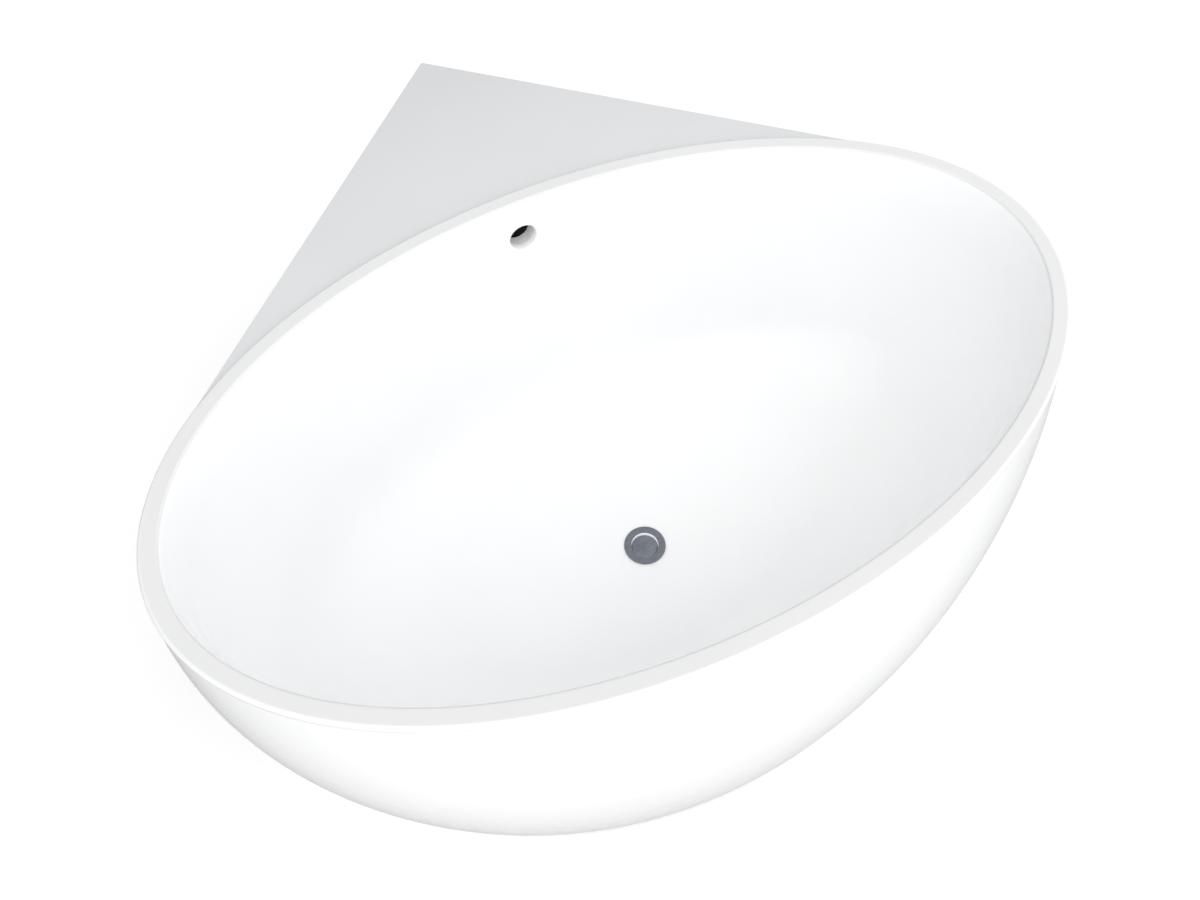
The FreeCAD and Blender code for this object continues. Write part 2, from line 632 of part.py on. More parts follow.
def build():
    right_screws, left_screws = panel_screws(1), panel_screws(-1)
    base_screws = board_screws()
    brackets = [skirt_bracket(turn) for turn in BRACKET_TURNS]
    ring_screws = [bracket_screw(turn) for turn in BRACKET_TURNS]
    overflow_front = BASIN_B + SHELL_WALL

    save("bath_shell", bath_shell())
    save("outer_skirt", outer_skirt())
    save("corner_deck", corner_deck())
    save("deck_ledger", deck_ledger())
    save("back_panel_right", back_panel(1, right_screws))
    save("back_panel_left", back_panel(-1, left_screws))
    save("corner_post", corner_post(right_screws + left_screws))
    save("panel_screws", Part.makeCompound(right_screws + left_screws))
    save("plinth_ring", cut_all(plinth_ring(), ring_screws))
    save("skirt_brackets", Part.makeCompound([cut_all(b, ring_screws) for b in brackets]))
    save("bracket_screws", Part.makeCompound(ring_screws))
    save("board_screws", Part.makeCompound(base_screws))
    for name, side in (("left", -1), ("right", 1)):
        save("base_board_" + name, base_board(side, base_screws))
        save("cross_rail_" + name, cross_rail(side))
    for name, side in (("front", -1), ("rear", 1)):
        save("long_rail_" + name, long_rail(side, base_screws))
    for number, (x, y) in enumerate(FEET, start=1):
        save("foot_pad_%d" % number, foot_pad(x, y))
        save("foot_stud_%d" % number, foot_stud(x, y))
    save("foot_nuts", Part.makeCompound(foot_nuts()))

    save("waste_flange", waste_flange())
    seal = ring(FLANGE_R - SEAL_ABOVE_INSET, SLEEVE_R + FIT, FLOOR_Z, FLOOR_Z + SEAL_THICK)
    save("waste_seal_top", at(seal, 0, WASTE_Y))
    seal = ring(SLEEVE_R + SEAL_BELOW_REACH, SLEEVE_R, TRAP_TOP, UNDERSIDE)
    save("waste_seal_bottom", at(seal, 0, WASTE_Y))
    save("waste_spider", waste_spider())
    save("plug_cap", plug_cap())
    low = SEAT_Z + FIT
    seal = ring(PLUG_R - PLUG_SEAL_INSET, STUD_R, low, low + PLUG_SEAL)
    save("plug_seal", at(seal, 0, WASTE_Y))
    save("plug_stem", plug_stem())
    save("trap_body", trap_body())
    save("waste_pipe", waste_pipe())
    save("waste_pipe_nut", waste_nut())

    sleeve = ring(OVERFLOW_R, OVERFLOW_R - OVERFLOW_SLEEVE_WALL, 0, OVERFLOW_SLEEVE)
    save("overflow_sleeve", along_y(sleeve, BASIN_B - OVERFLOW_SLEEVE_PROUD, OVERFLOW_Z))
    seal = ring(ELBOW_R + FITTING_WALL, OVERFLOW_R, 0, SEAL_BEHIND)
    save("overflow_seal", along_y(seal, overflow_front, OVERFLOW_Z))
    save("overflow_elbow", overflow_elbow())
    save("overflow_pipe", overflow_pipe())
    upper = hex_nut(OVERFLOW_NUT_FLATS, OVERFLOW_TUBE_R, ELBOW_END - OVERFLOW_NUT_LENGTH, ELBOW_END)
    lower = hex_nut(OVERFLOW_NUT_FLATS, OVERFLOW_TUBE_R, 0, OVERFLOW_NUT_LENGTH)
    lower = along_y(lower, WASTE_Y + SPIGOT_END, PIPE_AXIS_Z)
    save("overflow_nuts", Part.makeCompound([at(upper, 0, TUBE_Y), lower]))


build()
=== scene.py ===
import json
import math

import bmesh
import bpy
from mathutils import Matrix, Vector


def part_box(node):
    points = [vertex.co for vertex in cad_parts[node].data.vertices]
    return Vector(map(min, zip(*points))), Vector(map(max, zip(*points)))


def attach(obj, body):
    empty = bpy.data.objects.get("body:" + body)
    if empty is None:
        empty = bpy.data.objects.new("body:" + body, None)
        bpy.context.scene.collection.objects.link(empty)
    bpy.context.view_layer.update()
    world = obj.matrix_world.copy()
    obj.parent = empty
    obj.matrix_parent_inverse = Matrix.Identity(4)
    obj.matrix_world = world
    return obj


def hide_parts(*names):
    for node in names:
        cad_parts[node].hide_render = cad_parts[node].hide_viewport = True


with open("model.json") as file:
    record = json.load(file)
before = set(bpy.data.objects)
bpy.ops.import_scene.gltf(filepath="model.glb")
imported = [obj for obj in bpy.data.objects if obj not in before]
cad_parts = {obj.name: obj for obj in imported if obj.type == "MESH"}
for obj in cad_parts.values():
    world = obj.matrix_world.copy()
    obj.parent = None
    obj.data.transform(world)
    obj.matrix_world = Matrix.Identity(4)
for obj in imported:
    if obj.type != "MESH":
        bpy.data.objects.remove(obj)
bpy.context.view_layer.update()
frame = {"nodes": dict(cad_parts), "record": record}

# ---- sizes, in metres, from the frame ----
shell_low, shell_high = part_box("bath_shell")
skirt_low, skirt_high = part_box("outer_skirt")
deck_low, deck_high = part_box("corner_deck")
flange_low, flange_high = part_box("waste_flange")
sleeve_low, sleeve_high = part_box("overflow_sleeve")
cap_low, cap_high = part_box("plug_cap")

OVAL_A = (shell_high.x - shell_low.x) / 2
OVAL_B = (shell_high.y - shell_low.y) / 2
OVAL_Y = (shell_high.y + shell_low.y) / 2
RIM_TOP = shell_high.z
UNDERSIDE = shell_low.z
SKIRT_TOP = skirt_high.z
SKIRT_FOOT = skirt_low.z
CORNER_Y = math.hypot(OVAL_A, OVAL_B)
WASTE_Y = (flange_low.y + flange_high.y) / 2 - OVAL_Y
OVERFLOW_Z = (sleeve_low.z + sleeve_high.z) / 2
OVERFLOW_R = (sleeve_high.x - sleeve_low.x) / 2

# ---- sizes shared with the CAD model ----
RIM_WIDTH = 0.0285
RIM_INNER_ROUND = 0.003
RIM_OUTER_ROUND = 0.006
SHELL_WALL = 0.005
UPPER_CURVE = 0.9
LOWER_CURVE = 0.18
UPPER_TURN = math.radians(17)
LOWER_TURN = math.radians(88)
FLAT_RADIUS = 0.095
WASTE_HOLE = 0.0286
SKIRT_WALL = 0.004
END_SPREAD, END_TUCK = 0.170, 0.250
FRONT_SPREAD, FRONT_TUCK = 0.273, 0.196
PANEL = 0.016
PANEL_PLAY = 0.0003
DECK_JOINT = 0.0008
SLEEVE_WALL = 0.0015

BASIN_A = OVAL_A - RIM_WIDTH
BASIN_B = OVAL_B - RIM_WIDTH
FLOOR_Z = UNDERSIDE + SHELL_WALL

# ---- sizes that differ from the CAD model's ----
DECK_ROUND = 0.0009         # finer, so that the deck's tips stay long
MOUTH_FLARE = 0.0022        # how far the overflow's mouth opens out
MOUTH_R = OVERFLOW_R + MOUTH_FLARE
SLEEVE_RUN = 0.006          # how far the overflow's sleeve runs on into the elbow

# ---- how finely curves are divided ----
ROUND_THE_OVAL = 512
LOWER_STEPS, UPPER_STEPS = 12, 14       # up the basin wall's two curves
FLOOR_RINGS = (0.0, 0.05, 0.3, 0.65)    # rings between the waste hole and the floor's edge
PATCH_CELLS = 10                        # cells across the patch that holds the overflow hole
PATCH_RINGS = (0.45, 0.8, 1.0)          # rings between the patch's edge and the hole
INNER_STEPS, OUTER_STEPS = 5, 8         # over the rim's two roundings
SKIRT_STEPS, SKIRT_ROWS = 320, 44
DECK_STEPS, DECK_EASE_STEPS = 240, 4
TURNED_STEPS = 96
DOME_STEPS = 15

# ---- the tub's finishes, in the order of its material slots ----
INSIDE, BACK, RIM_FLAT, OUTSIDE = range(4)


# ---- materials ----
class Recipe:
    """One procedural material: a Principled shader with a few nodes in front of it."""

    def __init__(self, name, colour, roughness, metallic=0.0):
        self.material = bpy.data.materials.new(name)
        self.material.use_nodes = True
        self.nodes = self.material.node_tree.nodes
        self.links = self.material.node_tree.links
        self.shader = self.nodes["Principled BSDF"]
        self.shader.inputs["Base Color"].default_value = (*colour, 1)
        self.shader.inputs["Roughness"].default_value = roughness
        self.shader.inputs["Metallic"].default_value = metallic
        self.colour = colour
        self.roughness = roughness
        self.coords = self.nodes.new("ShaderNodeTexCoord")

    def place(self, stretch=(1, 1, 1)):
        mapping = self.nodes.new("ShaderNodeMapping")
        mapping.inputs["Scale"].default_value = stretch
        self.links.new(self.coords.outputs["Object"], mapping.inputs["Vector"])
        return mapping.outputs["Vector"]

    def noise(self, scale, detail=3.0, stretch=(1, 1, 1), distortion=0.0):
        node = self.nodes.new("ShaderNodeTexNoise")
        node.inputs["Scale"].default_value = scale
        node.inputs["Detail"].default_value = detail
        node.inputs["Distortion"].default_value = distortion
        self.links.new(self.place(stretch), node.inputs["Vector"])
        return node.outputs["Fac"]

    def spread(self, value, low, high, start=0.3, end=0.7):
        node = self.nodes.new("ShaderNodeMapRange")
        node.inputs["From Min"].default_value = start
        node.inputs["From Max"].default_value = end
        node.inputs["To Min"].default_value = low
        node.inputs["To Max"].default_value = high
        self.links.new(value, node.inputs["Value"])
        return node.outputs["Result"]

    def tint(self, value, other, start=0.35, end=0.65):
        """Let the colour wander from the recipe's own to another."""
        ramp = self.nodes.new("ShaderNodeValToRGB")
        ramp.color_ramp.elements[0].position = start
        ramp.color_ramp.elements[1].position = end
        ramp.color_ramp.elements[0].color = (*self.colour, 1)
        ramp.color_ramp.elements[1].color = (*other, 1)
        self.links.new(value, ramp.inputs["Fac"])
        self.links.new(ramp.outputs["Color"], self.shader.inputs["Base Color"])

    def vary_roughness(self, value, by):
        low, high = self.roughness - by, self.roughness + by
        self.links.new(self.spread(value, low, high), self.shader.inputs["Roughness"])

    def bump(self, value, depth, under=None):
        node = self.nodes.new("ShaderNodeBump")
        node.inputs["Strength"].default_value = 1.0
        node.inputs["Distance"].default_value = depth
        self.links.new(value, node.inputs["Height"])
        if under:
            self.links.new(under, node.inputs["Normal"])
        self.links.new(node.outputs["Normal"], self.shader.inputs["Normal"])
        return node.outputs["Normal"]


def acrylic(name, colour, other, roughness, coat):
    """Gloss white sanitary acrylic: a clear skin, slightly wavy, faintly mottled."""
    recipe = Recipe(name, colour, roughness)
    recipe.shader.inputs["IOR"].default_value = 1.49
    recipe.shader.inputs["Coat Weight"].default_value = coat
    recipe.shader.inputs["Coat Roughness"].default_value = 0.1
    recipe.tint(recipe.noise(3.0, 2.0), other)
    recipe.vary_roughness(recipe.noise(45.0, 5.0), 0.03)
    wave = recipe.bump(recipe.noise(6.0, 1.0), 0.0004)
    recipe.bump(recipe.noise(900.0, 2.0), 0.000006, wave)
    return recipe.material


def deck_acrylic():
    """The deck's satin finish, greyer than the tub."""
    recipe = Recipe("satin_deck", (0.67, 0.68, 0.695), 0.34)
    recipe.shader.inputs["IOR"].default_value = 1.49
    recipe.tint(recipe.noise(2.2, 2.0), (0.704, 0.711, 0.721))
    recipe.vary_roughness(recipe.noise(60.0, 5.0), 0.04)
    wave = recipe.bump(recipe.noise(7.0, 1.0), 0.0002)
    recipe.bump(recipe.noise(1400.0, 2.0), 0.00001, wave)
    return recipe.material


def fibreglass():
    """Sprayed glass fibre and resin on the hidden side of the tub and skirt."""
    recipe = Recipe("fibreglass_back", (0.62, 0.60, 0.50), 0.55)
    recipe.tint(recipe.noise(35.0, 6.0, distortion=1.5), (0.78, 0.76, 0.67))
    recipe.vary_roughness(recipe.noise(80.0, 4.0), 0.12)
    strands = recipe.bump(recipe.noise(160.0, 4.0, (1, 0.12, 0.12), 2.0), 0.0008)
    recipe.bump(recipe.noise(130.0, 4.0, (0.12, 1, 0.12), 2.0), 0.0008, strands)
    return recipe.material


def panel_board():
    recipe = Recipe("white_board", (0.85, 0.85, 0.845), 0.45)
    recipe.tint(recipe.noise(60.0, 5.0), (0.865, 0.865, 0.86))
    recipe.vary_roughness(recipe.noise(40.0, 4.0), 0.06)
    recipe.bump(recipe.noise(500.0, 3.0), 0.00004)
    return recipe.material


def wood(name, dark, light, grain):
    """Timber or plywood with its grain along X."""
    recipe = Recipe(name, dark, 0.6)
    figure = recipe.noise(grain, 8.0, (0.06, 1, 1), 0.6)
    recipe.tint(figure, light, 0.3, 0.7)
    recipe.vary_roughness(recipe.noise(70.0, 4.0), 0.1)
    recipe.bump(figure, 0.0004)
    return recipe.material


def galvanised():
    recipe = Recipe("zinc_plated_steel", (0.50, 0.52, 0.54), 0.38, 1.0)
    recipe.tint(recipe.noise(90.0, 5.0, distortion=1.0), (0.66, 0.68, 0.70), 0.4, 0.6)
    recipe.vary_roughness(recipe.noise(120.0, 4.0), 0.1)
    recipe.bump(recipe.noise(300.0, 3.0), 0.00005)
    return recipe.material


def bright_zinc():
    recipe = Recipe("bright_zinc", (0.62, 0.62, 0.60), 0.28, 1.0)
    recipe.tint(recipe.noise(200.0, 4.0), (0.74, 0.72, 0.66))
    recipe.vary_roughness(recipe.noise(400.0, 3.0), 0.08)
    recipe.bump(recipe.noise(700.0, 2.0), 0.00003)
    return recipe.material


def satin_metal(name, colour, other, metallic, roughness):
    """Plated metal, brushed a little."""
    recipe = Recipe(name, colour, roughness, metallic)
    recipe.tint(recipe.noise(60.0, 4.0, (1, 3, 1)), other)
    recipe.vary_roughness(recipe.noise(220.0, 4.0, (1, 6, 1)), 0.05)
    recipe.bump(recipe.noise(900.0, 2.0), 0.000008)
    return recipe.material


def glowing_bore_liner():
    """The waste's moulded liner: white plastic made to glow, a painted highlight that lights up
    the bore.
    """
    material = plastic("glowing_bore_liner", (0.93, 0.93, 0.94), (0.96, 0.96, 0.965), 0.35)
    shader = material.node_tree.nodes["Principled BSDF"]
    shader.inputs["Emission Color"].default_value = (1, 1, 1, 1)
    # The glow is painted light: the liner is no lamp.
    shader.inputs["Emission Strength"].default_value = 0.4
    return material


def rubber():
    recipe = Recipe("black_rubber", (0.022, 0.022, 0.024), 0.62)
    recipe.tint(recipe.noise(150.0, 4.0), (0.045, 0.045, 0.048))
    recipe.vary_roughness(recipe.noise(260.0, 4.0), 0.1)
    recipe.bump(recipe.noise(800.0, 3.0), 0.00006)
    return recipe.material


def plastic(name, colour, other, roughness):
    recipe = Recipe(name, colour, roughness)
    recipe.tint(recipe.noise(30.0, 4.0), other)
    recipe.vary_roughness(recipe.noise(180.0, 4.0), 0.07)
    recipe.bump(recipe.noise(650.0, 3.0), 0.00004)
    return recipe.material


def brass():
    recipe = Recipe("turned_brass", (0.58, 0.42, 0.17), 0.3, 1.0)
    recipe.tint(recipe.noise(120.0, 4.0, (1, 1, 8)), (0.70, 0.54, 0.26))
    recipe.vary_roughness(recipe.noise(240.0, 4.0), 0.08)
    recipe.bump(recipe.noise(700.0, 2.0, (1, 1, 10)), 0.00003)
    return recipe.material


# One white acrylic in three copies: the outside and the rim's flat are coloured darker than the
# basin, as painted shade.
ACRYLIC = acrylic("gloss_acrylic", (0.955, 0.96, 0.97), (0.975, 0.978, 0.98),
                  roughness=0.24, coat=0.15)
SHADED_OUTER_ACRYLIC = acrylic("shaded_outer_acrylic", (0.825, 0.83, 0.84), (0.845, 0.848, 0.855),
                        roughness=0.19, coat=0.25)
# The rim's flat is a darker copy of the same white acrylic, coloured grey as painted shade.
SHADED_RIM_ACRYLIC = acrylic("shaded_rim_acrylic", (0.768, 0.771, 0.775), (0.788, 0.79, 0.793),
                      roughness=0.22, coat=0.2)
DECK = deck_acrylic()
FIBREGLASS = fibreglass()
# The waste's chrome is coloured dark blue-grey, a painted reflection of darker surroundings.
SHADED_WASTE_CHROME = satin_metal("darkened_chrome_waste", (0.165, 0.18, 0.21), (0.195, 0.21, 0.24),
                           metallic=0.45, roughness=0.3)
SLEEVE_CHROME = satin_metal("chromed_overflow", (0.87, 0.875, 0.885), (0.92, 0.922, 0.93),
                            metallic=0.1, roughness=0.3)
RUBBER = rubber()
GLOWING_LINER = glowing_bore_liner()
NODE_FINISH = {
    # The overflow elbow is coloured near-black as painted shade in the hollow behind the
    # sleeve.
    "overflow_elbow": plastic("shade_black_elbow", (0.02, 0.02, 0.022), (0.035, 0.035, 0.038), 0.5),
}
SLOT_FINISH = {
    "acrylic": ACRYLIC,
    "panel": panel_board(),
    "plywood": wood("birch_plywood", (0.52, 0.36, 0.20), (0.70, 0.54, 0.34), 24.0),
    "timber": wood("pine_timber", (0.58, 0.40, 0.22), (0.76, 0.60, 0.38), 18.0),
    "zinc_steel": galvanised(),
    "fastener": bright_zinc(),
    "foot_pad": plastic("black_nylon", (0.03, 0.03, 0.032), (0.055, 0.055, 0.058), 0.5),
    "chrome": SHADED_WASTE_CHROME,
    "seal": RUBBER,
    "brass": brass(),
    "pipe_plastic": plastic("grey_pipe", (0.50, 0.51, 0.51), (0.58, 0.59, 0.585), 0.42),
}


def dress_cad_nodes():
    """Give every CAD node its finish, with soft shading over its curved faces."""
    sharp = math.radians(32)
    for part in frame["record"]["subparts"]:
        node = frame["nodes"][part["node"]]
        finish = NODE_FINISH.get(part["node"], SLOT_FINISH[part["material_slot"]])
        for slot in node.material_slots:
            slot.material = finish
        node.data.shade_smooth()
        node.data.set_sharp_from_angle(angle=sharp)


# ---- mesh helpers ----
def piece(name, mesh, materials, body, nodes):
    """Make a finished mesh into a piece that rides on a body and stands for CAD nodes."""
    obj = bpy.data.objects.new(name, mesh)
    bpy.context.scene.collection.objects.link(obj)
    for material in materials:
        mesh.materials.append(material)
    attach(obj, body)
    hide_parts(*nodes)


def to_mesh(name, bm, sharp_angle=40):
    """Close the work on a bmesh: no loose points, normals outwards, edges sharp or smooth."""
    loose = [vertex for vertex in bm.verts if not vertex.link_faces]
    bmesh.ops.delete(bm, geom=loose, context="VERTS")
    bmesh.ops.recalc_face_normals(bm, faces=bm.faces)
    mesh = bpy.data.meshes.new(name)
    bm.to_mesh(mesh)
    bm.free()
    mesh.shade_smooth()
    mesh.set_sharp_from_angle(angle=math.radians(sharp_angle))
    return mesh


def bridge(bm, first, second, closed=True, material=0):
    """Fill between two rows of as many vertices."""
    count = len(first)
    for i in range(count if closed else count - 1):
        j = (i + 1) % count
        face = bm.faces.new((first[i], first[j], second[j], second[i]))
        face.material_index = material


def turned_mesh(name, outline, centre, axis="z", second=None):
    """Turn a closed (radius, height) outline round Z, or round +Y for a piece in a wall.

    Faces between outline points that second() accepts take the piece's second material.
    """
    bm = bmesh.new()
    rows = []
    for radius, height in outline:
        row = []
        for k in range(TURNED_STEPS):
            angle = 2 * math.pi * k / TURNED_STEPS
            u, v = radius * math.cos(angle), radius * math.sin(angle)
            point = Vector((u, v, height)) if axis == "z" else Vector((u, height, -v))
            row.append(bm.verts.new(point + centre))
        rows.append(row)
    for k, row in enumerate(rows):
        after = (k + 1) % len(rows)
        other = second is not None and second(outline[k]) and second(outline[after])
        bridge(bm, row, rows[after], material=int(other))
    return to_mesh(name, bm)


def rounded(points, radius, steps=4):
    """A closed outline with its marked corners rounded; points are (r, z, round it)."""
    share = 0.45            # the most of an edge that one corner takes
    result = []
    count = len(points)
    for k, (r, z, soft) in enumerate(points):
        here = Vector((r, z))
        if not soft:
            result.append((r, z))
            continue
        before = Vector(points[k - 1][:2]) - here
        after = Vector(points[(k + 1) % count][:2]) - here
        reach = min(radius, before.length * share, after.length * share)
        start, end = here + before.normalized() * reach, here + after.normalized() * reach
        for step in range(steps + 1):
            t = step / steps
            point = start * (1 - t) ** 2 + here * 2 * t * (1 - t) + end * t ** 2
            result.append((point.x, point.y))
    return result


# ---- the tub ----
def basin_profile():
    """Centres of the wall's two curves and the height where the upright wall ends."""
    first_x = BASIN_B - UPPER_CURVE
    shift = UPPER_CURVE - LOWER_CURVE
    second_x = first_x + shift * math.cos(UPPER_TURN)
    toe_x = second_x + LOWER_CURVE * math.cos(LOWER_TURN)
    slope = (toe_x - FLAT_RADIUS) / math.tan(LOWER_TURN)
    second_z = FLOOR_Z + slope + LOWER_CURVE * math.sin(LOWER_TURN)
    return first_x, second_x, second_z, second_z + shift * math.sin(UPPER_TURN)


FIRST_X, SECOND_X, SECOND_Z, WALL_END = basin_profile()


def wall_radius(z, grow):
    """Half the basin's width at a height on its upright wall or its upper curve."""
    if z >= WALL_END:
        return BASIN_B + grow
    return FIRST_X + math.sqrt((UPPER_CURVE + grow) ** 2 - (WALL_END - z) ** 2)


def basin_rows(grow, patch_heights):
    """(half width, height) of each ring from the flat floor up to the patch's top row."""
    rows = [(FLAT_RADIUS, FLOOR_Z - grow)]
    for step in range(LOWER_STEPS):
        turn = LOWER_TURN + (UPPER_TURN - LOWER_TURN) * step / LOWER_STEPS
        reach = LOWER_CURVE + grow
        rows.append((SECOND_X + reach * math.cos(turn), SECOND_Z - reach * math.sin(turn)))
    start = SECOND_Z - (LOWER_CURVE + grow) * math.sin(UPPER_TURN)
    for step in range(UPPER_STEPS):
        z = start + (patch_heights[0] - start) * step / UPPER_STEPS
        rows.append((wall_radius(z, grow), z))
    rows += [(wall_radius(z, grow), z) for z in patch_heights]
    return rows


def wall_point(x, z, grow):
    """The point of the basin's back wall at a given x and height."""
    radius = wall_radius(z, grow)
    stretch = (BASIN_A + grow) / (BASIN_B + grow)
    return Vector((x, OVAL_Y + radius * math.sqrt(1 - (x / (radius * stretch)) ** 2), z))


def oval_row(bm, a, b, z, y=OVAL_Y):
    row = []
    for k in range(ROUND_THE_OVAL):
        angle = 2 * math.pi * k / ROUND_THE_OVAL
        row.append(bm.verts.new((a * math.cos(angle), y + b * math.sin(angle), z)))
    return row


def tub_side(bm, grow, material):
    """One side of the tub, from the waste hole up to the patch's top row, with its hole."""
    half = math.pi * PATCH_CELLS / ROUND_THE_OVAL * BASIN_A
    heights = [OVERFLOW_Z + half * (2 * k / PATCH_CELLS - 1) for k in range(PATCH_CELLS + 1)]
    stretch = (BASIN_A + grow) / (BASIN_B + grow)
    floor = FLOOR_Z - grow
    rows = []
    for t in FLOOR_RINGS:
        a = WASTE_HOLE + (FLAT_RADIUS * stretch - WASTE_HOLE) * t
        b = WASTE_HOLE + (FLAT_RADIUS - WASTE_HOLE) * t
        rows.append(oval_row(bm, a, b, floor, OVAL_Y + WASTE_Y * (1 - t)))
    for radius, z in basin_rows(grow, heights):
        rows.append(oval_row(bm, radius * stretch, radius, z))

    first_column = ROUND_THE_OVAL // 4 - PATCH_CELLS // 2
    first_row = len(rows) - PATCH_CELLS - 1
    for number, (lower, upper) in enumerate(zip(rows, rows[1:])):
        for i in range(ROUND_THE_OVAL):
            in_patch = number >= first_row and first_column <= i < first_column + PATCH_CELLS
            if not in_patch:
                j = (i + 1) % ROUND_THE_OVAL
                bm.faces.new((lower[i], lower[j], upper[j], upper[i])).material_index = material

    grid = [row[first_column:first_column + PATCH_CELLS + 1] for row in rows[first_row:]]
    frame_edge = grid[0] + [row[-1] for row in grid[1:-1]]
    frame_edge += grid[-1][::-1] + [row[0] for row in grid[-2:0:-1]]
    previous = frame_edge
    for t in PATCH_RINGS:
        ring = []
        for vertex in frame_edge:
            dx, dz = vertex.co.x, vertex.co.z - OVERFLOW_Z
            scale = MOUTH_R / math.hypot(dx, dz)
            x = dx * (1 - t) + dx * scale * t
            z = dz * (1 - t) + dz * scale * t + OVERFLOW_Z
            ring.append(bm.verts.new(wall_point(x, z, grow)))
        bridge(bm, previous, ring, material=material)
        previous = ring
    return rows[0], rows[-1], previous, heights[-1]


def tub():
    """The tub as one closed mesh: basin, rounded rim, lip and glass-fibre underside."""
    bm = bmesh.new()
    inner_waste, inner_top, inner_hole, top = tub_side(bm, 0.0, INSIDE)
    outer_waste, outer_top, outer_hole, _ = tub_side(bm, SHELL_WALL, BACK)
    bridge(bm, inner_waste, outer_waste, material=BACK)
    bridge(bm, inner_hole, outer_hole, material=INSIDE)

    flat = RIM_WIDTH - RIM_OUTER_ROUND
    margin = 0.001          # keeps the rim's flat part flat beside its roundings
    rim = [(0.0, top + (RIM_TOP - RIM_INNER_ROUND - top) * t) for t in (0.5, 1.0)]
    for step in range(1, INNER_STEPS + 1):
        turn = math.pi / 2 * step / INNER_STEPS
        rim.append((RIM_INNER_ROUND * (1 - math.cos(turn)),
                    RIM_TOP - RIM_INNER_ROUND * (1 - math.sin(turn))))
    rim += [(RIM_INNER_ROUND + margin, RIM_TOP), (flat / 2, RIM_TOP), (flat - margin, RIM_TOP)]
    for step in range(OUTER_STEPS + 1):
        turn = math.pi / 2 * step / OUTER_STEPS
        rim.append((flat + RIM_OUTER_ROUND * math.sin(turn),
                    RIM_TOP - RIM_OUTER_ROUND * (1 - math.cos(turn))))
    rim.append((RIM_WIDTH, SKIRT_TOP))
    previous = inner_top
    for out, z in rim:
        row = oval_row(bm, BASIN_A + out, BASIN_B + out, z)
        # The rim's flat and the outside take the darker, painted-shade copies of the acrylic.
        side = INSIDE if out == 0 else OUTSIDE if out > flat else RIM_FLAT
        bridge(bm, previous, row, material=side)
        previous = row
    for out, z in ((SHELL_WALL, SKIRT_TOP), (SHELL_WALL, (SKIRT_TOP + top) / 2)):
        row = oval_row(bm, BASIN_A + out, BASIN_B + out, z)
        bridge(bm, previous, row, material=BACK)
        previous = row
    bridge(bm, previous, outer_top, material=BACK)
    finishes = (ACRYLIC, FIBREGLASS, SHADED_RIM_ACRYLIC, SHADED_OUTER_ACRYLIC)
    piece("tub", to_mesh("tub", bm), finishes, "bath", ["bath_shell"])


# ---- the skirt ----
def skirt_axes(z):
    u = (SKIRT_TOP - z) / (SKIRT_TOP - SKIRT_FOOT)
    a = OVAL_A * (1 + END_SPREAD * u - END_TUCK * u * u)
    b = OVAL_B + OVAL_A * (FRONT_SPREAD * u - FRONT_TUCK * u * u)
    return a, b


def skirt_end(a, b):
    """The angle round the oval where the skirt meets a back panel."""
    reach = CORNER_Y - (PANEL + PANEL_PLAY) * math.sqrt(2)
    span = math.hypot(a, b)
    meeting = math.atan2(b, a) - math.acos(min(1.0, reach / span))
    return min(meeting, math.asin(OVAL_B ** 2 / CORNER_Y / b))


def skirt():
    """The curved skirt as one closed mesh, thick walled, its foot eased."""
    ease = 0.0008
    drop = (SKIRT_TOP - SKIRT_FOOT - ease) / SKIRT_ROWS
    heights = [SKIRT_TOP - drop * k for k in range(SKIRT_ROWS + 1)]
    heights.append(SKIRT_FOOT)
    bm = bmesh.new()

    def side(inset):
        sheet = []
        for z in heights:
            a, b = skirt_axes(z)
            end = skirt_end(a - inset, b - inset)
            pull = ease if z == SKIRT_FOOT and not inset else 0.0
            row = []
            for k in range(SKIRT_STEPS + 1):
                angle = -math.pi / 2 + (math.pi / 2 + end) * (2 * k / SKIRT_STEPS - 1)
                row.append(bm.verts.new(((a - inset - pull) * math.cos(angle),
                                         OVAL_Y + (b - inset - pull) * math.sin(angle), z)))
            sheet.append(row)
        return sheet

    outside, inside = side(0.0), side(SKIRT_WALL)
    for sheet, material in ((outside, 0), (inside, 1)):
        for upper, lower in zip(sheet, sheet[1:]):
            bridge(bm, upper, lower, closed=False, material=material)
    bridge(bm, outside[0], inside[0], closed=False)
    bridge(bm, outside[-1], inside[-1], closed=False)
    for end in (0, -1):
        bridge(bm, [row[end] for row in outside], [row[end] for row in inside], closed=False)
    # The skirt's outside takes the darker, painted-shade copy of the acrylic.
    finishes = (SHADED_OUTER_ACRYLIC, FIBREGLASS)
    piece("skirt", to_mesh("skirt", bm), finishes, "bath", ["outer_skirt"])


# ---- the deck ----
def deck_outline(inset):
    """The deck's edge drawn in by an inset: the hollow side, then the corner."""
    a, b = OVAL_A + DECK_JOINT + inset, OVAL_B + DECK_JOINT + inset
    corner = CORNER_Y - inset * math.sqrt(2)
    turn = math.atan2(b, a) + math.acos(corner / math.hypot(a, b))
    outline = []
    for k in range(DECK_STEPS + 1):
        angle = turn + (math.pi - 2 * turn) * k / DECK_STEPS
        outline.append((a * math.cos(angle), OVAL_Y + b * math.sin(angle)))
    return outline + [(0.0, OVAL_Y + corner)]


